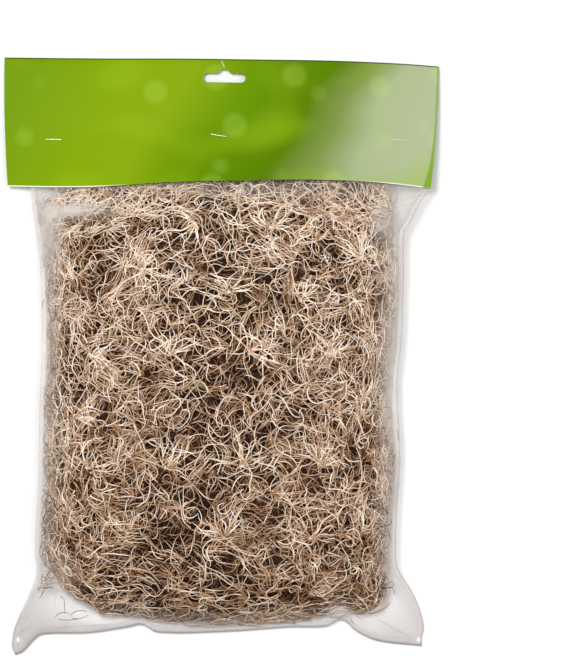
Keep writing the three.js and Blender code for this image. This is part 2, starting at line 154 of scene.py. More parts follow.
def swell(distance, reach):
    """The same from 0, but rounded at the top."""
    return np.sin(climb(distance, 0, reach) * math.pi / 2)


# %% [markdown]
# ## The shape that the parts share
#
# The card pinches the bag flat at its mouth, and the moss swells it below. Card and film both follow one
# surface, the neck: it starts at the fold, near the table, and climbs towards the card's free edge, most in
# the middle. These curves and numbers are the CAD model's, but for a few edges moved by 1 to 5 mm.

# %% The neck under the card
FLAP_LENGTH, CARD_THICKNESS = 96, 0.6
FOLD_Y, FOLD_Z = 226, 2.6
CARD_TURN = math.radians(-1.2)  # the card sits a little askew
NECK_HALF, GAP = 0.75, 0.35  # half the height of the empty neck, and the card's clearance over it
FRONT_SPREAD, BACK_SPREAD = 9, 17  # how far the flaps stand off at their free edges

neck_rise = curve_through([(-165, 5), (-110, 11), (-40, 20), (40, 23), (110, 21), (165, 17)])
neck_bulge = curve_through(
    [(-165, 0.02), (-120, 0.25), (-50, 0.8), (40, 1), (100, 0.75), (145, 0.2), (165, 0.05)]
)


def neck_height(x, share):
    return FOLD_Z + neck_rise(x) * share


def parted(x, share, spread):
    """How far a flap stands off the neck's middle at this share of its length."""
    return spread * neck_bulge(x) * np.clip(2 * share - 1, 0, None) ** 2


def laid_reach(x, share, pieces=8):
    """How far from the fold, seen from above, a share of the flap's length reaches as the flap climbs."""
    reach = 0
    rise, bulge = neck_rise(x), neck_bulge(x)
    for i in range(pieces):
        near, far = share * i / pieces, share * (i + 1) / pieces
        parting = np.clip(2 * far - 1, 0, None) ** 2 - np.clip(2 * near - 1, 0, None) ** 2
        lift = rise * (far - near) + FRONT_SPREAD * bulge * parting
        reach = reach + np.sqrt(np.clip(((far - near) * FLAP_LENGTH) ** 2 - lift**2, 0, None))
    return reach


def flap_share(x, distance):
    """The share of the flap's length over a point this far from the fold: more than 1 past its free edge."""
    beyond = distance - laid_reach(x, np.ones_like(x))
    share = distance / FLAP_LENGTH
    for _ in range(4):
        share = share + (distance - laid_reach(x, share)) / FLAP_LENGTH
    return np.where(beyond > 0, 1 + beyond / FLAP_LENGTH, share)


def turned(x, y, angle):
    """A point's place after a turn about the middle of the fold."""
    across, up = x, y - FOLD_Y
    return (
        across * math.cos(angle) - up * math.sin(angle),
        FOLD_Y + across * math.sin(angle) + up * math.cos(angle),
    )


# %% The filled bag
BAG_FOOT, FOOT_LEFT, FOOT_RIGHT = -226, -157, 150  # the foot and its two corners
FILLED_HEIGHT, FULLNESS, TUCK = 58, 0.75, 1.9
EMPTY_EDGE, EMPTY_FOOT, SIDE_REACH, END_REACH = 4, 4, 50, 60  # flat margins, and how far in the bag swells
NECK_Y, NECK_REACH, NECK_FROM, NECK_BLEND = 176, 110, 50, 70  # where the filling thins out to the neck
FILM_SHARE, FILM_LAG, RELEASE = 0.75, 0.8, 200  # how the film follows the flaps and then leaves them

left_edge = curve_through([
    (-226, -157), (-219, -159.5), (-204, -157), (-180, -146.5), (-164, -140.5), (-145, -141.5),
    (-100, -139.3), (-32, -137.8), (13, -136), (66, -137.5), (89, -140), (108, -142.7), (128, -145),
    (160, -148),
])
right_edge = curve_through([
    (-218, 150), (-211, 151.5), (-196, 148), (-183, 142.5), (-168, 133.5), (-158, 130.6), (-115, 131.2),
    (-77, 133.4), (-21, 131.2), (13, 134.4), (60, 136), (98, 136.4), (105, 141.2), (119, 147.6), (129, 154),
    (160, 156),
])
foot_edge = curve_through([
    (-157, -221.7), (-151, -219), (-140, -207.8), (-132, -205.6), (-101, -205), (-71, -200.4), (-61, -198.6),
    (-50, -204.5), (2, -204), (50, -200.7), (78, -200), (90, -194.8), (100, -203.2), (116, -210.8),
    (150, -215),
])
left_height = curve_through([(-226, 1.2), (-190, 4), (-140, 13), (0, 15), (80, 12), (129, 9)])
right_height = curve_through([(-218, 1.2), (-185, 4), (-140, 13), (0, 16), (80, 18), (129, 20)])


def from_sides(x, y):
    return np.minimum(x - left_edge(y), right_edge(y) - x)


def lumps(x, y):
    """The uneven swell of the filling, in mm."""
    return 2.2 * np.sin(x / 31 + 1) * np.cos(y / 37 + 0.5) + 1.3 * np.sin((x + y) / 25 + 2)


def film_at(x, y):
    """Heights of the film's top and underside over points."""
    left, right = left_edge(y), right_edge(y)
    across = np.clip((x - left) / (right - left), 0, 1)
    body = np.maximum(mix(left_height(y), right_height(y), across), NECK_HALF)
    card_x, card_y = turned(x, y, -CARD_TURN)
    share = flap_share(card_x, FOLD_Y - card_y)
    middle = mix(body, neck_height(card_x, np.minimum(share, 1)), climb(y, NECK_FROM, NECK_BLEND))
    fill = (
        swell(from_sides(x, y) - EMPTY_EDGE, SIDE_REACH) ** FULLNESS
        * swell(y - foot_edge(x) - EMPTY_FOOT, END_REACH) ** FULLNESS
        * swell(NECK_Y - y, NECK_REACH)
    )
    empty = middle + NECK_HALF
    top = empty + (FILLED_HEIGHT + lumps(x, y) - empty) * fill
    under = np.clip((middle - NECK_HALF) * (1 - TUCK * fill), 0, None)
    neck = neck_height(card_x, share)
    release = RELEASE * np.clip(share - 1, 0, None) ** 2
    above, below = (
        NECK_HALF + np.clip(FILM_SHARE * parted(card_x, share, spread) - FILM_LAG, 0, None) + release
        for spread in (FRONT_SPREAD, BACK_SPREAD)
    )
    near_card = y >= NECK_FROM
    return (
        np.where(near_card, np.minimum(top, neck + above), top),
        np.where(near_card, np.maximum(under, neck - below), under),
    )


# %% [markdown]
# ## Finishes as expressions
#
# A finish is a small network of nodes. Writing each link by hand hides the idea, so one class lets us use
# plus, times and the rest on a socket, and another one holds the material and adds nodes to it.

# %% A socket that can be reckoned with
class Socket:
    """One output of a node. Reckoning with it adds Math nodes to its finish."""

    def __init__(self, finish, socket):
        self.finish, self.socket = finish, socket

    def maths(self, operation, *values, **settings):
        inputs = dict(enumerate(values))
        return self.finish.node("ShaderNodeMath", {"operation": operation, **settings}, inputs)[0]

    def clamped(self):
        return self.maths("ADD", self, 0, use_clamp=True)

    def size(self):
        return self.maths("ABSOLUTE", self)

    def above(self, level, steepness):
        """0 up to a level, and 1 well above it."""
        return ((self - level) * steepness).clamped()

    def below(self, level, steepness):
        return ((level - self) * steepness).clamped()


def operator(operation, swapped=False):
    if swapped:
        return lambda self, other: self.maths(operation, other, self)
    return lambda self, other: self.maths(operation, self, other)


for sign, operation in {"add": "ADD", "sub": "SUBTRACT", "mul": "MULTIPLY", "pow": "POWER"}.items():
    setattr(Socket, f"__{sign}__", operator(operation))
    setattr(Socket, f"__r{sign}__", operator(operation, swapped=True))


# %% A finish made of nodes
class Finish:
    def __init__(self, name):
        self.material = bpy.data.materials.new(name)
        self.material.use_nodes = True
        self.tree = self.material.node_tree
        self.tree.nodes.clear()
        self.place = self.node("ShaderNodeTexCoord")["Object"]

    def node(self, kind, settings=None, inputs=None):
        """Adds a node, first its settings and then its sockets, and returns its outputs by name or number."""
        made = self.tree.nodes.new(kind)
        for name, value in (settings or {}).items():
            setattr(made, name, value)
        for key, value in (inputs or {}).items():
            if isinstance(value, Socket):
                self.tree.links.new(value.socket, made.inputs[key])
            else:
                made.inputs[key].default_value = value
        outputs = [Socket(self, output) for output in made.outputs]
        return {**dict(enumerate(outputs)), **dict(zip(made.outputs.keys(), outputs))}

    def noise(self, scale, detail=2, **others):
        """Soft random variation from 0 to 1, with about this many blotches in a metre."""
        inputs = {"Vector": self.place, "Scale": scale, "Detail": detail, **others}
        return self.node("ShaderNodeTexNoise", inputs=inputs)["Fac"]

    def attribute(self, name):
        return self.node("ShaderNodeAttribute", {"attribute_name": name})["Fac"]

    def ramp(self, value, *stops):
        """Turns a value into a colour, by (place, colour) stops."""
        ramp = self.tree.nodes.new("ShaderNodeValToRGB")
        band = ramp.color_ramp
        for i, (place, colour) in enumerate(stops):
            stop = band.elements[i] if i < 2 else band.elements.new(place)
            stop.position, stop.color = place, (*colour, 1)
        self.tree.links.new(value.socket, ramp.inputs["Fac"])
        return Socket(self, ramp.outputs["Color"])

    def blend(self, share, first, second, way="MIX"):
        """Goes from one colour to another, or with "MULTIPLY" tints the first with the second."""
        inputs = {"Factor": share, 6: self.colour(first), 7: self.colour(second)}
        return self.node("ShaderNodeMix", {"data_type": "RGBA", "blend_type": way}, inputs)[2]

    @staticmethod
    def colour(value):
        return value if isinstance(value, Socket) else (*value, 1)

    def bump(self, height, distance, strength=1.0):
        inputs = {"Height": height, "Distance": distance, "Strength": strength}
        return self.node("ShaderNodeBump", inputs=inputs)["Normal"]

    def shade(self, **sockets):
        """Finishes the material with one Principled shader: Base_Color=... sets the Base Color socket."""
        inputs = {name.replace("_", " "): value for name, value in sockets.items()}
        if "Base Color" in inputs:
            inputs["Base Color"] = self.colour(inputs["Base Color"])
        shader = self.node("ShaderNodeBsdfPrincipled", inputs=inputs)["BSDF"]
        self.node("ShaderNodeOutputMaterial", inputs={"Surface": shader})
        return self.material


def speckled(name, noise, dark, light, roughness, relief=0, **sockets):
    """A plain finish whose colour, roughness and relief follow one fine noise. Roughness is a base and a
    spread, and relief is in metres."""
    finish = Finish(name)
    grain = finish.noise(**noise)
    if relief:
        sockets["Normal"] = finish.bump(grain, relief)
    base, spread = roughness
    tone = finish.blend(grain, dark, light)
    return finish.shade(Base_Color=tone, Roughness=base + spread * grain, **sockets)


def finish_piece(piece, slot, replaced, *materials):
    """Gives a piece its materials and its place in the model: all of them ride on the one body."""
    piece.data.materials.clear()
    for material in materials:
        piece.data.materials.append(material)
    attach(piece, "root")
    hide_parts(replaced)
    bpy.context.view_layer.update()
    print(piece.name, len(piece.data.polygons), "faces")


# %% [markdown]
# ## The camera, the light and the table
#
# The pack lies on its back and is seen from straight above, from far enough away that its sides hardly show.
# A long lens does that. A large lamp at the upper left gives soft shadows at the lower right, and a wider one
# and a pale sky fill them.

# %% Camera, lamp, sky and table
PIXELS_HIGH, MM_PER_PIXEL = 662, 0.753
VIEW_X, VIEW_Y, VIEW_HEIGHT = 0.0465, 0.0213, 3.0
VIEW_LEVEL = 0.012  # the height at which the scale of the view holds
SENSOR = 36
SKY, TABLE_WHITE = 0.53, 0.84


def add_camera():
    bpy.ops.object.camera_add(location=(VIEW_X, VIEW_Y, VIEW_HEIGHT + VIEW_LEVEL), rotation=(0, 0, 0))
    camera = bpy.context.object
    camera.data.sensor_width = SENSOR
    camera.data.lens = SENSOR * VIEW_HEIGHT / (PIXELS_HIGH * MM_PER_PIXEL * MM)
    bpy.context.scene.camera = camera


def add_lamp(name, place, size, power):
    bpy.ops.object.light_add(type="AREA", location=place)
    lamp = bpy.context.object
    lamp.name, lamp.data.size, lamp.data.energy = name, size, power
    lamp.rotation_euler = (-Vector(place)).to_track_quat("-Z", "Y").to_euler()


add_camera()
add_lamp("window_light", (-0.45, 0.5, 2.3), 0.6, 39)
add_lamp("fill_light", (0.9, 0.1, 2.3), 1.2, 14)

sky = bpy.data.worlds.new("sky")
bpy.context.scene.world = sky
sky.use_nodes = True
backdrop = sky.node_tree.nodes["Background"].inputs
backdrop["Color"].default_value, backdrop["Strength"].default_value = (1, 1, 1, 1), SKY
bpy.context.scene.view_settings.view_transform = "Standard"

bpy.ops.mesh.primitive_plane_add(size=12, location=(0, 0, 0))
table = bpy.context.object
table.name = "table"
table_finish = Finish("white_table")
table_rough = 0.7 + 0.1 * table_finish.noise(40)
table.data.materials.append(table_finish.shade(Base_Color=[TABLE_WHITE] * 3, Roughness=table_rough))

# %% [markdown]
# ## The header card
#
# The card is one printed sheet, folded over the bag's mouth. It starts as a grid, is extruded to a closed
# slab and is then laid round the fold, where its rows stand close together. The hang slot is a filled
# outline, extruded and cut through both flaps.

# %% Fold the card
CARD_COLUMNS, CARD_ROWS = 72, 100
CARD_LEFT, CARD_RIGHT = 165, 162.8  # how far the sheet reaches to the left and right of the pack's middle
EDGE_PULL_IN = 0.029  # how far a flap has drawn in at its free edge, as a share of its width
fold_bow = curve_through([(-165, 0), (-93, 0.8), (-32, 2.0), (28, 2.5), (80, 2.8), (133, 1.7), (165, 0)])
flap_trim = curve_through([
    (-165, 2.1), (-93, 3.0), (-32, 1.6), (28, 0.8), (80, -1.5), (133, -2.3), (165, -0.2),
])
STAPLED = 0.62  # the share of a flap, from the fold, that its staples hold still
card_rows = curve_through([(0, 0), (0.1, 0.011), (0.2, 0.022), (0.3, 0.25), (0.4, 0.5), (0.5, 0.6), (1, 1)])


def card_waver(x, share, front):
    """The slight waves of a handled card: most at its free edge, none where the fold and staples hold it."""
    free = climb(share, STAPLED, 1 - STAPLED) ** 1.5
    return free * (0.5 * np.sin(x / 19 + 2.2 * front) + 0.35 * np.sin(x / 8.3 + 1 + front))


def fold_card():
    """The folded sheet, each corner's place on the flat sheet, and whether it lies on the printed side."""
    card = slab("card_sheet", CARD_COLUMNS, CARD_ROWS)
    u, v, w = corners_of(card).T
    share = card_rows(np.abs(v))
    radius = NECK_HALF + GAP + CARD_THICKNESS / 2
    x = u * np.where(u < 0, CARD_LEFT, CARD_RIGHT) * (1 - EDGE_PULL_IN * share**2)
    turn = np.minimum(share * FLAP_LENGTH / radius, math.pi / 2)
    front = v < 0
    spread = np.where(front, parted(x, share, FRONT_SPREAD), parted(x, share, BACK_SPREAD))
    skin = radius + w * CARD_THICKNESS / 2
    laid = laid_reach(x, share) - radius * turn - skin * np.cos(turn) + radius
    laid = laid + flap_trim(x) * share**2 - fold_bow(x) * (1 - share)
    height = neck_height(x, share) - np.sign(v) * (skin * np.sin(turn) + spread)
    height = height + np.where(front, card_waver(x, share, 1.0), 0)
    place_x, place_y = turned(x, FOLD_Y - laid, CARD_TURN)
    outer = w > 0
    put_corners(card, np.column_stack([place_x, place_y, height]))
    return card, np.column_stack([(u + 1) / 2, (1 - np.sign(v) * share) / 2]), outer


def lay_print(card, place, outer):
    """Keeps each corner's place on the flat sheet as a UV map, and marks the faces that carry the print."""
    mesh = card.data
    loops = np.empty(len(mesh.loops), int)
    mesh.loops.foreach_get("vertex_index", loops)
    layer = mesh.uv_layers.new(name="print")
    layer.data.foreach_set("uv", place[loops].ravel())
    for face in mesh.polygons:
        face.material_index = 0 if all(outer[i] for i in face.vertices) else 1


# %% Cut the hang slot
SLOT_LENGTH, SLOT_HEIGHT, SLOT_HUMP, SLOT_HUMP_WIDTH = 32, 6.9, 3.15, 9.2
SLOT_X, SLOT_FROM_FOLD = 1.2, 11.9
CUTTER_HALF = 30  # the cutters reach this far above and below the table


def slot_outline():
    end, half, hump = SLOT_HEIGHT / 2, (SLOT_LENGTH - SLOT_HEIGHT) / 2, SLOT_HUMP_WIDTH / 2
    radius = (hump**2 + SLOT_HUMP**2) / (2 * SLOT_HUMP)
    centre = end + SLOT_HUMP - radius
    rise = math.asin((end - centre) / radius)
    arcs = [
        (half, 0, end, -math.pi / 2, math.pi / 2, 16),
        (0, centre, radius, rise, math.pi - rise, 20),
        (-half, 0, end, math.pi / 2, 3 * math.pi / 2, 16),
    ]
    for x, y, size, start, stop, count in arcs:
        for angle in np.linspace(start, stop, count):
            across, up = SLOT_X + x + size * math.cos(angle), y + size * math.sin(angle)
            yield turned(across, FOLD_Y - SLOT_FROM_FOLD + up, CARD_TURN)


def slot_cutter():
    flat = bpy.data.curves.new("slot_cutter", "CURVE")
    flat.dimensions, flat.fill_mode, flat.extrude = "2D", "BOTH", CUTTER_HALF * MM
    add_line(flat, in_frame([(x, y, 0) for x, y in slot_outline()]), closed=True)
    cutter = mesh_from(flat)
    bpy.ops.object.mode_set(mode="EDIT")
    bpy.ops.mesh.select_all(action="SELECT")
    bpy.ops.mesh.remove_doubles(threshold=1e-6)
    bpy.ops.mesh.normals_make_consistent(inside=False)
    bpy.ops.object.mode_set(mode="OBJECT")
    return cutter


def cut_away(piece, cutter):
    select_only(piece)
    cut = piece.modifiers.new("cut", "BOOLEAN")
    cut.operation, cut.object, cut.solver = "DIFFERENCE", cutter, "EXACT"
    bpy.ops.object.modifier_apply(modifier=cut.name)
    bpy.data.objects.remove(cutter)


card, print_place, outer_side = fold_card()
lay_print(card, print_place, outer_side)
cut_away(card, slot_cutter())
select_only(card)
bpy.ops.object.shade_smooth_by_angle(angle=math.radians(40))

# %% [markdown]
# ### The print
#
# A garden-centre card is printed in soft greens. The design is a plain one of our own: light falling across a
# green ground that pales to the right, with a few round, out-of-focus spots of light. It reads the UV map, so
# it runs over the fold as ink on the flat sheet does. The board inside is white.
# Shade is painted dark along the fold and along the right edge, where the card bends away.

# %% Printed board and its white core
GREENS = [  # from the left to the right
    (0.0, (0.135, 0.255, 0.0005)), (0.2, (0.18, 0.3, 0.0005)), (0.34, (0.19, 0.305, 0.004)),
    (0.48, (0.11, 0.23, 0.0005)), (0.69, (0.08, 0.17, 0.0005)), (0.78, (0.165, 0.235, 0.05)),
    (0.87, (0.325, 0.385, 0.205)), (1.0, (0.35, 0.4, 0.235)),
]
FOLD_BAND, SLOT_BAND = 0.018, 0.072  # shares of a flap: the bend, where shade is painted dark, and the end of the crack at the slot


def light_spots(finish, uv):
    """Round spots of light, where no two are alike in size."""
    stretched = finish.node("ShaderNodeMapping", inputs={"Vector": uv, "Scale": (9, 5.2, 1)})["Vector"]
    inputs = {"Vector": stretched, "Scale": 1.0, "Randomness": 1.0}
    return finish.node("ShaderNodeTexVoronoi", {"feature": "F1"}, inputs)["Distance"].below(0.32, 9)


def printed_board():
    finish = Finish("green_print")
    uv = finish.node("ShaderNodeUVMap", {"uv_map": "print"})["UV"]
    parts = finish.node("ShaderNodeSeparateXYZ", inputs={"Vector": uv})
    across, from_fold = parts["X"], ((parts["Y"] - 0.5) * 2).size()
    drift, sweep = finish.noise(2.4, 1, Vector=uv), finish.noise(5.5, 0, Vector=uv)
    crack = (across - 0.4935 - 0.136 * from_fold).size()
    near_slot = from_fold.above(FOLD_BAND, 300) * from_fold.below(SLOT_BAND, 300)
    layers = [  # where a layer of ink, wear or painted shade lies, how much it covers and its colour
        (sweep.above(0.55, 1.5), 1, (0.26, 0.41, 0.01)),
        (light_spots(finish, uv), 0.1, (0.6, 0.85, 0.12)),
        # Painted shade along the fold, where the card bends away.
        (from_fold.below(FOLD_BAND, 150), 0.85, (0.03, 0.06, 0.002)),
        (from_fold.above(0.9915, 400) * (across - 0.56).size().above(0.27, 12), 0.9, (0.85, 0.87, 0.8)),
        (crack.below(0.0016, 900) * near_slot, 0.5, (0.8, 0.85, 0.7)),
        # Painted shade along the right edge, widening towards the free edge, where the card curls down.
        ((across + from_fold**5 * 0.0155).above(0.9945, 250), 0.85, (0.16, 0.29, 0.006)),
    ]
    ground = finish.ramp(across + 0.16 * (from_fold - 0.5) + 0.16 * (drift - 0.5), *GREENS)
    for where, cover, colour in layers:
        ground = finish.blend(where * cover, ground, colour)
    grain, worn = finish.noise(900, 2), finish.noise(45, 5).above(0.6, 2)
    return finish.shade(
        Base_Color=ground,
        Roughness=0.34 + 0.14 * grain + 0.2 * worn,
        Specular_IOR_Level=0.02,
        Normal=finish.bump(grain, 0.00004),
    )


fibres = {"scale": 1500, "detail": 3}
white_board = speckled("white_board", fibres, (0.72, 0.70, 0.66), (0.86, 0.85, 0.82), (0.75, 0.1), 0.00005)
finish_piece(card, "printed_card", "header_card", printed_board(), white_board)

# %% [markdown]
# ## The staples
#
# Each staple is a bent wire: a crown across the front flap, two legs through both flaps and two clinched ends
# behind. A wire is a curve with a round bevel. It is turned to a mesh once its path is right.

# %% Bend the staples
STAPLES = [(-126.4, 61.4, 0), (-2, 56.6, -8), (135.2, 57, -6)]  # x, distance from the fold, degrees
CROWN, WIRE, CLINCH, BEND = 13, 0.6, 4.6, 0.7  # widths, the clinched ends' length and the bends' radius


def staple_frame(x, from_fold, degrees):
    """A matrix with X along the crown and Z out of the front flap, in mm."""

    def point(px, distance):
        place_x, place_y = turned(px, FOLD_Y - distance, CARD_TURN)
        height = neck_height(px, flap_share(np.array([px]), np.array([distance]))[0])
        return Vector((place_x, place_y, height))

    origin = point(x, from_fold)
    right = (point(x + 1, from_fold) - origin).normalized()
    out = right.cross(point(x, from_fold - 1) - origin).normalized()
    right = Matrix.Rotation(math.radians(degrees), 3, out) @ right
    axes = Matrix((right, out.cross(right), out)).transposed()
    return Matrix.Translation(origin) @ axes.to_4x4()


def rounded(points, radius, steps=5):
    """The same path with its corners turned into small arcs."""
    path = [points[0]]
    for before, corner, after in zip(points, points[1:], points[2:]):
        start = corner + (before - corner).normalized() * radius
        end = corner + (after - corner).normalized() * radius
        for k in range(steps + 1):
            share = k / steps
            path.append(start.lerp(corner, share).lerp(corner.lerp(end, share), share))
    return path + [points[-1]]


def bend_staple(name, x, from_fold, degrees):
    """A staple whose legs are as long as the neck is thick there."""
    skin = NECK_HALF + GAP + CARD_THICKNESS + GAP
    share = flap_share(np.array([x]), np.array([from_fold + 4]))[0]
    front = skin + parted(x, share, FRONT_SPREAD) + WIRE / 2
    back = skin + parted(x, share, BACK_SPREAD) + WIRE / 2
    leg, tip = (CROWN - WIRE) / 2, CROWN / 2 - CLINCH
    path = [(-tip, -back + 0.2), (-leg, -back), (-leg, front), (leg, front), (leg, -back), (tip, -back + 0.2)]
    frame_of_staple = staple_frame(x, from_fold, degrees)
    points = rounded([frame_of_staple @ Vector((px, 0, pz)) for px, pz in path], BEND)
    wire = bpy.data.curves.new(name, "CURVE")
    wire.dimensions, wire.bevel_depth, wire.bevel_resolution = "3D", WIRE / 2 * MM, 2
    wire.use_fill_caps = True
    add_line(wire, in_frame(points))
    return smooth(mesh_from(wire))


drawn = {"scale": 2500, "detail": 2}
steel = speckled("staple_steel", drawn, (0.62, 0.63, 0.62), (0.78, 0.79, 0.78), (0.25, 0.2), Metallic=1.0)
for number, place in enumerate(STAPLES, 1):
    staple = bend_staple(f"staple_wire_{number}", *place)
    finish_piece(staple, "staple_wire", f"staple_{number}", steel)

# %% [markdown]
# ## The film bag
#
# The bag is thin clear film, welded along its foot. Film this thin shows no thickness, so the piece is a
# closed skin: a top and an underside that meet at its edges. A fine grid takes the filled shape first, and
# then small creases and long folds push it out along its normals. The film is milky where it has been creased
# or rubbed, and it shows more where it hangs slack than where the moss stretches it.
# Its edge is a denser rim, painted dark grey as shade, least along the left side that faces the main lamp.

# %% Shape the bag
BAG_COLUMNS, BAG_ROWS = 126, 170
MOUTH_DEPTH = 21  # how far below the fold the film's mouth ends
WELD, WELD_FADE, RIM = 5, 1.5, 1.2  # how far in from the film's edge its weld and its rim reach; the rim is denser film, and its dark grey is painted shade
SLACK_UNDER = 38  # mm between its two sides, below which the film hangs slack
CARD_FROM, CARD_FADE = 118, 20  # where the card begins to hold the film smooth
CALM, LIVELY, HELD, LEAST = 0.28, 0.9, 0.93, 0.1  # how strong small creases are: taut, slack, held, at edges
FOLDS = [  # x and y of both ends, height and width
    (-133, 117, -88, 119, 1.3, 4.5), (-131, 104, -103, 121, 0.9, 3.0), (118, 100, 131, 118, 1.2, 3.0),
    (127, 120, 152, 128, 1.0, 2.5), (112, 126, 138, 104, 0.8, 2.2), (97, -193, 105, -211, 1.0, 2.2),
    (60, -199, 118, -188, 1.2, 4.0), (112, -168, 146, -212, 1.5, 3.5), (-124, -172, -153, -214, 1.5, 3.5),
    (-60, -200, -112, -196, 1.1, 4.0), (-136, -150, -134, -60, 0.8, 2.5), (128, -140, 129, -50, 0.8, 2.5),
    (-133, 10, -135, 80, 0.7, 2.5), (130, 0, 133, 88, 0.8, 2.5), (99, -170, 112, -187, 1.0, 1.6),
    (-122, -150, -150, -206, 0.9, 2.0), (-112, -205, -146, -221, 0.8, 2.0),
    (120, -196, 143, -206, 0.9, 2.0), (104, 98, 131, 119, 0.9, 1.4),
]
MILKY = [  # where it has been creased or rubbed, and at the right, at x 127 and 131, also standing in for light that lifts the shade the moss casts: x, y, reach both ways and how much
    (-112, 113, 24, 6, 0.5), (-129, 96, 8, 17, 0.4), (87, -187, 7, 4, 0.5), (118, 104, 7, 11, 0.3),
    (40, 128, 60, 6, 0.12), (-40, -198, 60, 4, 0.14), (-120, -160, 10, 14, 0.2), (-30, -205, 60, 3, 0.1),
    (140, 122, 16, 16, 0.14), (-142, 120, 10, 20, 0.1), (127, 5, 10, 85, 0.21), (-134, 30, 6, 60, 0.14),
    (131, 98, 8, 24, 0.16),
]
DULL = [(-142, -206, 24, 26, 0.85), (136, -206, 28, 22, 0.4)]  # the two corners, in the same way
SIDE_VEIL, VEIL_FROM_SIDE, VEIL_REACH = 0.09, 9, 8  # the milky bands beside the moss
VEIL_FOOT, VEIL_TOP = (-190, 50), (120, 30)  # where the bands begin and end, and over what length
LEFT_RIM_SHADE = 0.4  # the rim's painted shade is weaker along the left side, which faces the main lamp


def bag_plan(column, row):
    """Where a column (-1 to 1) and a row (0 at the foot, 1 at the mouth) of the bag lie, seen from above, and
    how far the film's nearest side is."""
    mouth = FOLD_Y - MOUTH_DEPTH
    level = mix(BAG_FOOT, mouth, row)
    left, right = left_edge(level), right_edge(level)
    x = mix(left, right, (column + 1) / 2)
    foot = foot_edge(mix(FOOT_LEFT, FOOT_RIGHT, (column + 1) / 2))
    return x, mix(foot, turned(x, mouth, CARD_TURN)[1], row), np.minimum(x - left, right - x)


def fold_lift(x, y):
    """How far the long folds raise the film: most at the middle of each."""
    lift = np.zeros_like(x)
    for x0, y0, x1, y1, height, width in FOLDS:
        run_x, run_y = x1 - x0, y1 - y0
        length = math.hypot(run_x, run_y)
        along = ((x - x0) * run_x + (y - y0) * run_y) / length**2
        aside = ((x - x0) * run_y - (y - y0) * run_x) / length
        lift += height * np.exp(-((aside / width) ** 2)) * np.sin(np.pi * np.clip(along, 0, 1))
    return lift


def rough(x, y, z):
    """Soft random variation at many points, from -1 to 1."""
    return np.fromiter((noise.noise(Vector(spot)) for spot in zip(x, y, z)), float, len(x))


def crinkle(x, y, side):
    """Small sharp creases, as thin film makes them: 1 at the sharpest."""

    def ridge(size, shift):
        return 1 - 3 * np.abs(rough(x / size, y / size, shift + side))

    return 0.6 * ridge(24, 1.5) + 0.3 * ridge(9, 7.5) + 0.12 * ridge(4, 11.5)


def patches(spots, x, y):
    """How much of a change lies on the film: most in the middle of each spot."""
    change = np.zeros_like(x)
    for centre_x, centre_y, reach_x, reach_y, amount in spots:
        change += amount * np.exp(-(((x - centre_x) / reach_x) ** 2) - ((y - centre_y) / reach_y) ** 2)
    return change


def mark_film(bag, x, y, side, slack, from_edge, from_side):
    """Writes down where the film is welded, slack and milky, and where its rim is denser and painted with
    shade, for its finish to read.
    """
    beside = np.exp(-(((from_side - VEIL_FROM_SIDE) / VEIL_REACH) ** 2))
    beside *= climb(y, *VEIL_FOOT) * (1 - climb(y, *VEIL_TOP))
    marks = {
        "weld": 1 - climb(from_edge, WELD, WELD_FADE),
        # The rim's painted shade is full along the right side and the foot, away from the main lamp.
        "rim": (1 - climb(from_edge, 0, RIM)) * np.where((x > 0) | (y < VEIL_FOOT[0]), 1, LEFT_RIM_SHADE),
        "slack": slack + patches(DULL, x, y),
        "milky": (patches(MILKY, x, y) + SIDE_VEIL * beside) * (side > 0),
    }
    for name, values in marks.items():
        bag.data.attributes.new(name, "FLOAT", "POINT").data.foreach_set("value", values)


def shape_bag():
    bag = slab("film_skin", BAG_COLUMNS, BAG_ROWS)
    u, v, side = corners_of(bag).T
    x, y, from_side = bag_plan(np.sin(u * math.pi / 2), (v + 1) / 2)
    top, under = film_at(x, y)
    points = np.column_stack([x, y, np.where(side > 0, top, under)])
    put_corners(bag, points)

    from_edge = np.minimum(from_side, y - foot_edge(x))
    slack = 1 - climb(top - under, 0, SLACK_UNDER)
    held = climb(y, CARD_FROM, CARD_FADE)
    strength = (CALM + LIVELY * slack) * (1 - HELD * held) * np.clip((from_edge + 0.5) / WELD, LEAST, 1)
    push = strength * crinkle(x, y, 3 * side * (1 - slack)) + fold_lift(x, y) * (1 - held)

    normals = np.empty(points.size)
    bag.data.vertex_normals.foreach_get("vector", normals)
    points += mix(normals.reshape(-1, 3), np.array([0, 0, 1]), slack[:, None]) * push[:, None]
    points[:, 2] = np.maximum(points[:, 2], 0)
    put_corners(bag, points)
    mark_film(bag, x, y, side, slack, from_edge, from_side)
    return smooth(bag)


bag = shape_bag()

# %% Punch the air holes
VENTS, VENT_RADIUS = [(-155, -209.5), (147.6, -209.7)], 1.3


def vent_cutter():
    made = []
    for x, y in VENTS:
        bpy.ops.mesh.primitive_cylinder_add(
            vertices=20, radius=VENT_RADIUS * MM, depth=2 * CUTTER_HALF * MM, location=in_frame((x, y, 0))
        )
        made.append(bpy.context.object)
    for piece in made:
        piece.select_set(True)
    bpy.ops.object.join()
    return bpy.context.object


cut_away(bag, vent_cutter())


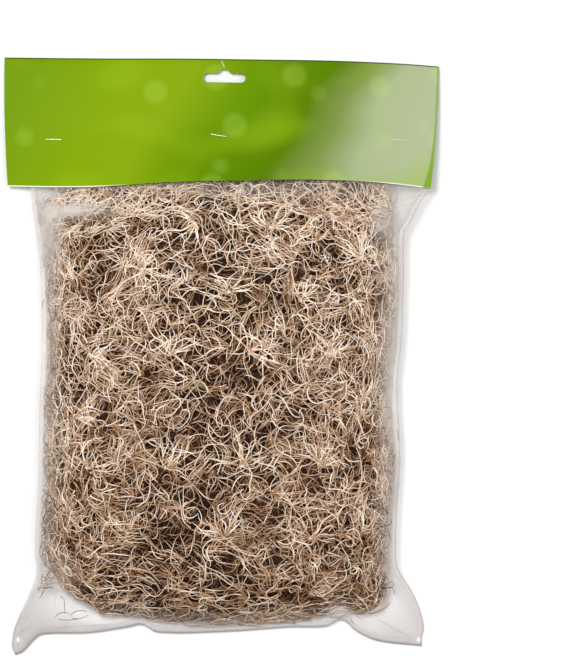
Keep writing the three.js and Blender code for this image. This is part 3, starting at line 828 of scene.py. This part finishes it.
# %% Clear film
def clear_film():
    finish = Finish("clear_film")
    weld, rim, slack, milky = (finish.attribute(name) for name in ("weld", "rim", "slack", "milky"))
    veil = finish.noise(38, 4, Distortion=1.2).above(0.52, 3)
    fine = finish.noise(420, 3)
    patchy = milky * (0.5 + finish.noise(60, 3))
    alpha = 0.002 + 0.02 * veil + 0.155 * slack + 0.04 * weld + 0.32 * rim + 0.01 * fine + patchy
    ribs = finish.node(
        "ShaderNodeTexWave", {"bands_direction": "DIAGONAL"}, {"Vector": finish.place, "Scale": 260.0}
    )["Fac"]
    colour = finish.blend(slack, (0.72, 0.64, 0.57), (0.48, 0.42, 0.39))
    colour = finish.blend((milky * 3).clamped(), colour, (0.80, 0.74, 0.69))
    return finish.shade(
        # The rim's dark grey is painted shade.
        Base_Color=finish.blend(rim, colour, (0.3, 0.28, 0.28)),
        Roughness=0.12 + 0.16 * fine + 0.1 * weld,
        Alpha=alpha,
        Normal=finish.bump(fine + 0.5 * ribs * weld, 0.00012),
    )


finish_piece(bag, "clear_film", "film_bag", clear_film())

# %% [markdown]
# ## The moss
#
# A real tangle is hundreds of metres of thin stem. Three things make it look right: strands that curl and
# never run straight, strands that weave over and under each other, and deep gaps that little light reaches.
# So the bunch is built in layers round a heart painted near-black, and deeper strands are painted darker, as
# painted shade that adds to the real shade of those gaps. Every strand is walked a step at a time over a
# rounded block, at a depth of its own, and NumPy moves a whole batch together. Each batch becomes a curve
# object with a three-sided bevel, and then a mesh.

# %% The space that the moss fills
MOSS_TOP, SQUARENESS = 147, 11
MOSS_CLEARANCE, SIDE_CLEARANCE = 2.3, 1.0  # between the film and the middle lines of the outermost strands
CLEARANCE_REACH = 25  # how far in from a side the clearance grows
THINNEST_ROOM = 0.5  # half the height of the space in the bag's thin edges
SLOPE_AHEAD = 6  # how far up the bag the film is looked at, so that strands clear it where it climbs
CELL = 2.0
GRID_X, GRID_Y = np.arange(-170, 171, CELL), np.arange(-234, 229, CELL)

moss_foot = curve_through([
    (-132, -165), (-122, -175), (-108, -180), (-99, -184), (-93, -190), (-80, -191), (-40, -197), (10, -199),
    (55, -196), (72, -193), (85, -188), (98, -189), (118, -190), (126, -184), (131, -176),
])
moss_left = curve_through([(-150, -134), (-60, -133), (0, -132.5), (100, -132.5), (140, -131)])
moss_right = curve_through([
    (-190, 129), (-172, 127), (-152, 123), (-120, 125), (-77, 127), (-32, 124.5), (0, 125), (30, 127.5),
    (60, 131), (100, 130), (147, 121),
])


def moss_sides(y):
    """The middle of the bunch and half its width, at this distance up the bag."""
    left, right = moss_left(y), moss_right(y)
    return (left + right) / 2 + 1.6 * np.sin(y / 17), (right - left) / 2


def spot_in_bunch(across, along):
    """Where a place lies, seen from above, by its shares of the way to the bunch's edges."""
    middle, half_width = moss_sides(along * MOSS_TOP)
    x = middle + across * half_width
    foot = moss_foot(x)
    return x, (MOSS_TOP + foot) / 2 + along * (MOSS_TOP - foot) / 2


def measure_room():
    """The middle height of the space for moss, and half its height, over a grid of points."""
    x, y = np.meshgrid(GRID_X, GRID_Y, indexing="ij")
    here, ahead = film_at(x, y), film_at(x, y + SLOPE_AHEAD)
    top, under = np.minimum(here[0], ahead[0]), np.maximum(here[1], ahead[1])
    clearance = mix(SIDE_CLEARANCE, MOSS_CLEARANCE, climb(from_sides(x, y), 0, CLEARANCE_REACH))
    return (top + under) / 2, np.maximum((top - under) / 2 - clearance, THINNEST_ROOM)


ROOM_MIDDLE, ROOM_HALF = measure_room()


def read_grid(grid, x, y):
    """The grid's value at points between its corners."""
    across = np.clip((x - GRID_X[0]) / CELL, 0, len(GRID_X) - 1.001)
    along = np.clip((y - GRID_Y[0]) / CELL, 0, len(GRID_Y) - 1.001)
    i, j = across.astype(int), along.astype(int)
    a, b = across - i, along - j
    near = grid[i, j] * (1 - a) + grid[i + 1, j] * a
    far = grid[i, j + 1] * (1 - a) + grid[i + 1, j + 1] * a
    return near * (1 - b) + far * b


def room_height(x, y, share):
    """A height in the space for moss: 1 is its top, 0 its middle and -1 its bottom."""
    return read_grid(ROOM_MIDDLE, x, y) + share * read_grid(ROOM_HALF, x, y)


def shares_out(x, y):
    """How far out places are, across and along: 0 in the middle of the bunch and 1 at its edges."""
    foot = moss_foot(x)
    middle, half_width = moss_sides(y)
    return np.abs(x - middle) / half_width, np.abs(y - (MOSS_TOP + foot) / 2) / ((MOSS_TOP - foot) / 2)


def depth_at(points):
    """How deep places are in the bunch: 1 on its skin, 0 at its heart."""
    x, y, z = points[..., 0], points[..., 1], points[..., 2]
    a, b = shares_out(x, y)
    c = (z - read_grid(ROOM_MIDDLE, x, y)) / read_grid(ROOM_HALF, x, y)
    return np.sqrt(a**SQUARENESS + b**SQUARENESS + c**2)


def settle(points, level, times=2, step=0.4):
    """Moves points along the slope until they lie at that depth, and gives the way out there too."""
    for _ in range(times):
        here = depth_at(points)
        slope = np.stack([depth_at(points + step * axis) - here for axis in np.eye(3)], axis=-1) / step
        steep = np.linalg.norm(slope, axis=-1, keepdims=True).clip(1e-3)
        move = ((level - here)[..., None] / steep).clip(-6, 6)
        points = points + move * slope / steep
    return points, slope / steep


# %% Places to start from
random = np.random.default_rng(20261)
FRONT, BACK, SIDES = 0, 1, 2
EVEN_STEPS = np.array([[0.7548776662], [0.5698402910]])  # they never repeat, so no spot is left out
CROWDING = 0.85  # under 1 it brings a few more strands to the edges
NEAR_EDGE, AT_EDGE = 0.97, 0.985  # how far out the strands of a face and of a side start


def places(count, level, shares):
    """Points spread over the bunch at one depth, with these shares on its front, back and sides."""
    sort = random.choice(3, count, p=shares)
    x, y = (random.random((2, 1)) + EVEN_STEPS * np.arange(count)) % 1 * 2 - 1
    x = np.sign(x) * np.abs(x) ** CROWDING
    z = random.uniform(-0.9, 0.9, count)
    edge = np.where(random.random(count) < 0.55, 0, 1)
    sign = np.sign(random.uniform(-1, 1, count))
    x = np.where((sort == SIDES) & (edge == 0), sign * AT_EDGE, x * NEAR_EDGE)
    y = np.where((sort == SIDES) & (edge == 1), sign * AT_EDGE, y * NEAR_EDGE)
    z = np.where(sort == FRONT, 1.0, np.where(sort == BACK, -1.0, z))
    x, y = spot_in_bunch(x, y)
    return settle(np.column_stack([x, y, room_height(x, y, z)]), np.full(count, level), 4)[0]


def headings(count, sideways=0.0):
    """Random directions, drawn towards X by this share."""
    heading = random.normal(size=(count, 3))
    heading[:, 1] *= 1 - sideways
    heading[:, 2] *= 0.6
    return heading / np.linalg.norm(heading, axis=1, keepdims=True)


# %% Walk a batch of strands
def walk(start, heading, bends, levels, step):
    """Moves every strand of a batch forward together. Each column of bends and levels is one step: by how
    much the strand turns within its layer, in radians, and the depth that it goes to."""
    here, line = start, [start]
    for k in range(bends.shape[1]):
        _, out = settle(here, depth_at(here), 1)
        heading = heading - out * np.sum(heading * out, axis=1, keepdims=True)
        heading /= np.linalg.norm(heading, axis=1, keepdims=True).clip(1e-6)
        aside = np.cross(out, heading)
        turn = bends[:, k : k + 1]
        heading = heading * np.cos(turn) + aside * np.sin(turn)
        last = here
        here, _ = settle(here + heading * step, levels[:, k])
        heading = here - last
        line.append(here)
    return np.stack(line, axis=1)


KINK = 0.13  # the sudden bends of dry stems, in radians
TURN = 6.3  # a full turn and a little


def one_each(low, high, count):
    """A random number for each strand."""
    return random.uniform(low, high, (count, 1))


def wander(count, steps, sway, curl=0.0):
    """Turns for each step: two slow waves of random size, kinks, and a steady curl for strands that coil."""
    k = np.arange(steps)
    paces = one_each(0.12, 0.4, count), one_each(0.4, 0.9, count)
    wave = sum(
        one_each(0.3, 1, count) * sway * np.sin(one_each(0, TURN, count) + k * pace) for pace in paces
    )
    kinks = random.normal(0, KINK, (count, steps))
    return wave + kinks + curl * random.choice([-1, 1], (count, 1)) * one_each(0.4, 1, count)


def weave(count, steps, level, swing):
    """Depths for each step: strands rise and dip, so that they cross over and under each other."""
    k = np.arange(steps)
    own = level + one_each(-swing, swing, count)
    return own + swing * np.sin(one_each(0, TURN, count) + k * one_each(0.25, 0.7, count))


# %% Turn a batch into a mesh
def bevel_section():
    """The three-sided section that is drawn along every strand, one millimetre in radius."""
    section = bpy.data.curves.new("strand_section", "CURVE")
    section.dimensions = "2D"
    angles = np.array([0, 2 * math.pi / 3, 4 * math.pi / 3])
    add_line(section, np.column_stack([np.cos(angles), np.sin(angles), 0 * angles]) * MM, closed=True)
    return placed(section)


def strands(name, batches):
    """One mesh of many strands. A batch holds lines, each line's radii and each line's tone."""
    section = bevel_section()
    curve = bpy.data.curves.new(name, "CURVE")
    curve.dimensions, curve.bevel_mode, curve.bevel_object = "3D", "OBJECT", section
    for lines, radii, _ in batches:
        for row, thickness in zip(in_frame(lines), radii):
            add_line(curve, row).points.foreach_set("radius", thickness)
    piece = smooth(mesh_from(curve))
    bpy.data.objects.remove(section)
    tone = np.concatenate([np.repeat(tones.ravel(), 3) for _, _, tones in batches])
    piece.data.attributes.new("tone", "FLOAT", "POINT").data.foreach_set("value", tone)
    bpy.ops.object.mode_set(mode="EDIT")
    bpy.ops.mesh.select_all(action="SELECT")
    bpy.ops.mesh.fill_holes(sides=3)
    bpy.ops.object.mode_set(mode="OBJECT")
    return piece


def tapered(count, steps, thick, thin_end, fine=0.25):
    """Radii along strands: each has its own thickness, and most thin out towards the tip."""
    along = np.linspace(0, 1, steps)
    shape = 1 - (1 - thin_end) * along**2
    return thick * one_each(1 - fine, 1 + fine, count) * shape


# %% The mat of the deeper strands
STRAY, STRAY_SHARE = 0.6, 1.012  # strands that stray further out, in mm or as a share, are left out
PAINTED_DEPTH_SHADE = 0.3  # painted shade: how much the tone falls with each millimetre under the skin, where less light reaches
TOWARD_FOOT = 0.0006  # how much it falls with each millimetre down the bag
TOWARD_SIDES = 0.05  # and how much it gains towards the sides
PRESSED_BELOW = -95  # below this the bag's foot has pressed the strands level


def dressed(lines, thick, thin_end, tone):
    """Gives strands their radii and tones, with shade painted darker the deeper they lie, and drops those
    that left the bunch. The tone is a middle and a spread."""
    count, steps = lines.shape[:2]
    radii, tones = tapered(count, steps, thick, thin_end), random.normal(*tone, (count, 1))
    x, y = lines[..., 0], lines[..., 1]
    under_skin = (1 - depth_at(lines)) * read_grid(ROOM_HALF, x, y)
    aside, along = shares_out(x, y)
    inside = (under_skin.min(axis=1) > -STRAY) & (np.maximum(aside, along).max(axis=1) < STRAY_SHARE)
    # Painted shade: each point of a strand is coloured darker the deeper it lies under the skin.
    tones = tones - PAINTED_DEPTH_SHADE * under_skin + TOWARD_FOOT * y + TOWARD_SIDES * aside**3
    return lines[inside], radii[inside], tones[inside]


def toward_foot(start, heading):
    """Turns the headings of the strands near the foot sideways."""
    low = start[:, 1] < PRESSED_BELOW
    heading[low] = headings(low.sum(), 0.75)
    return heading


def batch(count, steps, level, swing, shares, sway, curl, step, thick, thin_end, tone):
    """Strands of one kind, each with a start, a heading and bends of its own."""
    start = places(count, level, shares)
    heading = toward_foot(start, headings(count))
    lines = walk(start, heading, wander(count, steps, sway, curl), weave(count, steps, level, swing), step)
    return dressed(lines, thick, thin_end, tone)


EVEN, MOSTLY_FRONT = (0.5, 0.28, 0.22), (0.7, 0.1, 0.2)


def mat(count, steps, level, shares, thick, tone):
    return batch(count, steps, level, 0.045, shares, 0.33, 0, 3.2, thick, 0.6, tone)


under_mat = mat(950, 25, 0.86, EVEN, 0.64, (0.72, 0.18))
upper_mat = mat(1330, 26, 0.93, MOSTLY_FRONT, 0.52, (0.71, 0.22))
print("mats:", len(under_mat[0]), "and", len(upper_mat[0]), "strands")


# %% Curls, rings and wisps of the outer layer
def curls(count, steps, sway, curl, step, thick, tone, level=0.98):
    return batch(count, steps, level, 0.025, MOSTLY_FRONT, sway, curl, step, thick, 0.45, tone)


long_curls = curls(1750, 17, 0.38, 0.08, 2.6, 0.5, (0.76, 0.22))
rings = curls(340, 13, 0.08, 0.55, 1.8, 0.5, (0.95, 0.12))
fine_curls = curls(1900, 13, 0.36, 0.12, 2.3, 0.38, (0.77, 0.27), level=0.97)
wisps = curls(400, 11, 0.3, 0.1, 2.9, 0.3, (0.45, 0.25), level=1.0)
print("curls:", [len(lines) for lines, _, _ in (long_curls, rings, fine_curls, wisps)])


# %% Tufts and sprays
def fan(start, heading, count, spread, steps, step, sway, thick, tone, lift):
    """Blades that leave each start in a fan, as the leaves of a stem do at a joint."""
    groups = len(start)
    _, out = settle(start, depth_at(start), 1)
    start, out, heading = (np.repeat(rows, count, axis=0) for rows in (start, out, heading))
    total = groups * count
    angle = one_each(-spread, spread, total)
    heading = heading * np.cos(angle) + np.cross(out, heading) * np.sin(angle)
    rise = np.linspace(0, 1, steps)
    levels = 0.95 + lift * np.sin(rise * math.pi * one_each(0.4, 0.9, total))
    bends = wander(total, steps, sway, 0.06) * (0.4 + rise)
    start = start + random.normal(size=(total, 3)) * 0.5
    lines = walk(start, heading, bends, levels, step * one_each(0.5, 1.1, total))
    return dressed(lines, thick, 0.3, tone)


def spray(groups, count, steps, gap, step, thick, tone):
    """Strands that run side by side, a little apart, and bend together."""
    start = places(groups, 0.97, MOSTLY_FRONT)
    _, out = settle(start, depth_at(start), 1)
    heading = toward_foot(start, headings(groups))
    bends = wander(groups, steps, 0.13, 0.05)
    start, out, heading, bends = (np.repeat(rows, count, axis=0) for rows in (start, out, heading, bends))
    aside = np.cross(out, heading)
    place = np.tile(np.arange(count) - (count - 1) / 2, groups)[:, None]
    start = start + aside * place * gap + heading * one_each(-6, 6, groups * count)
    bends = bends + random.normal(size=bends.shape) * 0.02 + place * 0.008
    lines = walk(start, heading, bends, weave(groups * count, steps, 0.975, 0.015), step)
    return dressed(lines, thick, 0.4, tone)


STAR_TUFTS = [  # x, y and the way that each fan opens, in degrees
    (-99, 5, 40), (-39, 6, 60), (20, 8, 50), (80, 6, 70), (-101, -79, 70), (-43, -79, 80), (15, -77, 75),
    (72, -76, 60), (-112, 62, 120), (-60, 70, 20), (5, 52, 100), (58, 46, 30), (104, 78, 150), (2, -130, 90),
    (66, -131, 100), (-70, -128, 60), (108, -30, 120), (-112, -40, 30), (36, 100, 80), (-20, 104, 200),
]


def star_tufts():
    """The large, pale tufts that lie on top of the tangle."""
    x, y, way = np.array(STAR_TUFTS, float).T
    start, _ = settle(np.column_stack([x, y, room_height(x, y, 1)]), np.full(len(x), 0.97), 4)
    way = np.radians(way)
    heading = np.column_stack([np.cos(way), np.sin(way), np.zeros(len(x))])
    return fan(start, heading, 12, 1.7, 11, 2.4, 0.15, 0.68, (1.03, 0.08), 0.05)


def small_tufts(groups):
    start = places(groups, 0.96, MOSTLY_FRONT)
    return fan(start, headings(groups), 8, 1.3, 10, 2.1, 0.2, 0.54, (0.9, 0.15), 0.04)


fans = [star_tufts(), small_tufts(150)]
sprays = spray(210, 7, 12, 1.7, 2.5, 0.46, (0.84, 0.17))
print("tufts:", [len(lines) for lines, _, _ in fans], "and sprays:", len(sprays[0]))

# %% Loose ends and the fringe at the sides
LOOSE = [  # x, y, the way it starts and how far it turns, both in degrees, and its length
    (-126.7, -193, 60, -85, 14), (-115, -191.5, 58, -80, 15), (-126.2, -193.2, -12, 38, 26),
    (-118.7, -178, -86, -6, 11), (-114, -192.6, -8, 10, 5), (-121.5, -175, -50, 10, 5),
    (-112, -176, -30, 20, 8), (98, -188.5, -42, 8, 8), (107, -188.4, -3, 50, 21), (99, -189, -2, 6, 9),
    (122, -168, 23, 10, 7), (122.7, -170, 20, -130, 11), (-137, 114, 4, 12, 9), (-136, 119, 48, -20, 7),
    (-134, 88, 96, -110, 14), (-135, 70, 80, 40, 10), (-136, 40, 100, -60, 9), (131, -60, 70, 50, 10),
    (129, 110, 130, 40, 12),
]
LOOSE_STEPS = 10
FRINGE_FROM, FRINGE_TO, RIGHT_FRINGE = 4, 9, 3.5  # mm from the film's edge, and how much more at the right
FRINGE_FOOT, FRINGE_TOP, FLARE_Y = -172, 122, 90  # its two ends, and where the bag begins to flare


def bowed(x, y, start, turn, length, lift):
    """Short bowed strands that lie in the film's thin edges, at a share of the way up to its top."""
    angle = np.radians(start + turn * np.linspace(0, 1, LOOSE_STEPS))
    x = x + np.cumsum(np.cos(angle), axis=1) * length / LOOSE_STEPS
    y = y + np.cumsum(np.sin(angle), axis=1) * length / LOOSE_STEPS
    return np.stack([x, y, room_height(x, y, lift)], axis=-1)


def loose_ends():
    """Single strands that have come off the bunch."""
    lines = bowed(*np.array(LOOSE, float).T[:, :, None], 0.9)
    tones = np.full((len(LOOSE), LOOSE_STEPS), 0.3) + random.normal(0, 0.12, (len(LOOSE), 1))
    return lines, tapered(len(LOOSE), LOOSE_STEPS, 0.38, 0.6), tones


def side_fringe(count):
    """The fine strands that reach almost to the bag's sides."""
    y = one_each(FRINGE_FOOT, FRINGE_TOP, count)
    right = random.random((count, 1)) < 0.3
    inward = one_each(FRINGE_FROM, FRINGE_TO, count) + RIGHT_FRINGE * right
    side = np.minimum(y, FLARE_Y)
    x = np.where(right, right_edge(side) - inward, left_edge(side) + inward)
    start, turn = one_each(0, 360, count), one_each(-170, 170, count)
    lines = bowed(x, y, start, turn, one_each(5, 15, count), one_each(0.4, 0.95, count))
    inside = from_sides(lines[..., 0], lines[..., 1]).min(axis=1) > FRINGE_FROM - 1
    tones = np.repeat(random.normal(0.58, 0.28, (count, 1)), LOOSE_STEPS, axis=1)
    return lines[inside], tapered(count, LOOSE_STEPS, 0.36, 0.6)[inside], tones[inside]


# %% The dark heart
HEART_COVER, HEART_LEVEL = 6.5, 0.74  # mm of tangle over the heart, and how deep its rim lies
HEART_ROUGH, THINNEST = 1.6, 0.3


def moss_heart():
    """A rough closed block inside the tangle, so that no light passes between the strands. Its near-black
    colour is painted shade.
    """
    heart = slab("moss_heart", 40, 60)
    u, v, w = corners_of(heart).T
    u, v = np.sin(u * math.pi / 2), np.sin(v * math.pi / 2)
    rim = HEART_LEVEL ** (2 / SQUARENESS)
    power = (np.abs(u) ** SQUARENESS + np.abs(v) ** SQUARENESS) ** (1 / SQUARENESS)
    outward = rim * np.maximum(np.abs(u), np.abs(v)) / np.maximum(power, 1e-6)
    a, b = u * outward, v * outward
    inner = np.clip(1 - (np.abs(a) ** SQUARENESS + np.abs(b) ** SQUARENESS) / HEART_LEVEL**2, 0, 1)
    x, y = spot_in_bunch(a, b)
    half = (read_grid(ROOM_HALF, x, y) - HEART_COVER) * np.sqrt(inner)
    half += HEART_ROUGH * rough(x / 9, y / 9, w) * inner
    z = read_grid(ROOM_MIDDLE, x, y) + w * np.maximum(half, THINNEST)
    put_corners(heart, np.column_stack([x, y, z]))
    return smooth(heart)


# %% Dried moss
STEM_COLOURS = [  # from the darkest, reached mostly through the painted shade of deep strands, to the most bleached stems
    (0.0, (0.024, 0.004, 0.0005)), (0.25, (0.108, 0.036, 0.008)), (0.5, (0.335, 0.185, 0.093)),
    (0.75, (0.65, 0.46, 0.32)), (1.0, (0.99, 0.85, 0.71)),
]


def dried_moss():
    finish = Finish("dried_moss")
    # The tone holds each strand's own tone and the painted shade of its depth.
    colour = finish.ramp(finish.attribute("tone") + 0.12 * (finish.noise(55, 3) - 0.5), *STEM_COLOURS)
    yellow = (finish.noise(130, 1) * 1.8 - 0.4).clamped()
    hue = finish.blend(yellow, (1.0, 0.975, 1.02), (1.0, 1.015, 0.96))
    colour = finish.blend(1.0, colour, hue, "MULTIPLY")
    colour = finish.blend(finish.noise(24, 1).above(0.68, 8) * 0.5, colour, (0.3, 0.11, 0.03))
    scales = finish.noise(1600, 2)
    return finish.shade(
        Base_Color=colour,
        Roughness=0.62 + 0.2 * scales,
        Specular_IOR_Level=0.12,
        Normal=finish.bump(scales, 0.00008),
    )


# The heart's near-black browns are painted shade, for the deep tangle that little light reaches.
heart_blotches, painted_shade_browns = {"scale": 300, "detail": 4, "Distortion": 2.0}, [(0.006, 0.002, 0.0005), (0.04, 0.014, 0.004)]
dark = speckled("moss_heart", heart_blotches, *painted_shade_browns, (0.9, 0.1), 0.0008, Specular_IOR_Level=0.05)
finish_piece(moss_heart(), "dried_moss", "moss_bunch", dark)

# %% Build the tangle
moss = dried_moss()
tangle = {
    "moss_under_mat": [under_mat],
    "moss_upper_mat": [upper_mat],
    "moss_curls": [long_curls, rings],
    "moss_tufts": [*fans, sprays],
    "moss_wisps": [fine_curls, wisps, loose_ends(), side_fringe(750)],
}
for name, batches in tangle.items():
    finish_piece(strands(name, batches), "dried_moss", "moss_bunch", moss)

# %% [markdown]
# ### Creases in the film
#
# Where film is folded sharply, its edge catches the light as a white line, or turns away from it and looks
# dark. A crease is a thin ridge on the bag's top, made in the way of the strands; pale ones carry a painted
# highlight and dark ones painted shade.

# %% Creases
CREASES = [  # x and y of both ends, thickness and painted light: 1 a painted highlight, near 0 painted shade
    (133, 118, 121, 101.4, 0.5, 1.0), (129, 113, 121.5, 102.6, 0.3, 0.1), (121, 101.4, 108, 90, 0.6, 0.9),
    (128.4, 118.7, 152.5, 126.8, 0.25, 0.45), (121, 129.7, 149.7, 127.6, 0.25, 0.5),
    (112, 114.7, 110.5, 106.5, 0.55, 0.9), (-126.1, 127.9, -113.7, 128.2, 0.3, 0.1),
    (-113.7, 128.2, -107.4, 124.6, 0.3, 0.1), (-138.6, 115.4, -132.4, 115.9, 0.35, 0.05),
    (-137, 116.3, -131.2, 124.6, 0.4, 1.0), (-138, 117.3, -132.2, 125.4, 0.25, 0.1),
    (-112.5, 118.7, -95.3, 116.4, 0.7, 0.95), (-125.7, -175, -125.7, -184.7, 0.2, 0.45),
    (-128, -202.3, -109.8, -198.4, 0.3, 0.5), (-110, -197.9, -85, -199, 0.3, 0.5),
    (-153.6, -204.3, -145.7, -196, 0.5, 0.95), (98.6, -171.3, 111.4, -187.5, 0.5, 1.0),
    (79.8, -193.2, 94.2, -191.3, 0.5, 0.05), (80.9, -188.9, 85.7, -184.7, 0.5, 1.0),
    (85.7, -184.7, 96.3, -188.9, 0.5, 1.0), (96.3, -191.6, 98.4, -199.2, 0.35, 0.3),
    (109, -189.4, 140.7, -206.5, 0.5, 0.95),
]
CREASE_STEPS, CREASE_LIFT, WOBBLE = 14, 0.2, 0.5


def creases():
    """Slightly wavy lines along the film's top, thickest at their middles."""
    x0, y0, x1, y1, thick, painted_light = np.array(CREASES, float).T[:, :, None]
    along = np.linspace(0, 1, CREASE_STEPS)
    x = mix(x0, x1, along) + WOBBLE * np.sin(7 * along + x0)
    y = mix(y0, y1, along) + WOBBLE * np.sin(6 * along + y0)
    lines = np.stack([x, y, film_at(x, y)[0] + CREASE_LIFT], axis=-1)
    return lines, thick * np.sin(np.pi * mix(0.05, 0.95, along)), painted_light + 0 * along


def painted_crease_light():
    """Film that is folded on itself: half clear, with a painted highlight where pale and painted shade where
    dark.
    """
    finish = Finish("painted_crease_light")
    painted_light = finish.attribute("tone")
    fine = finish.noise(420, 3)
    return finish.shade(
        # Dark grey is painted shade and pale cream a painted highlight.
        Base_Color=finish.blend(painted_light, (0.12, 0.11, 0.11), (0.92, 0.89, 0.86)),
        Roughness=0.2 + 0.2 * fine,
        Alpha=0.5 + 0.2 * fine,
    )


finish_piece(strands("film_creases", [creases()]), "clear_film", "film_bag", painted_crease_light())
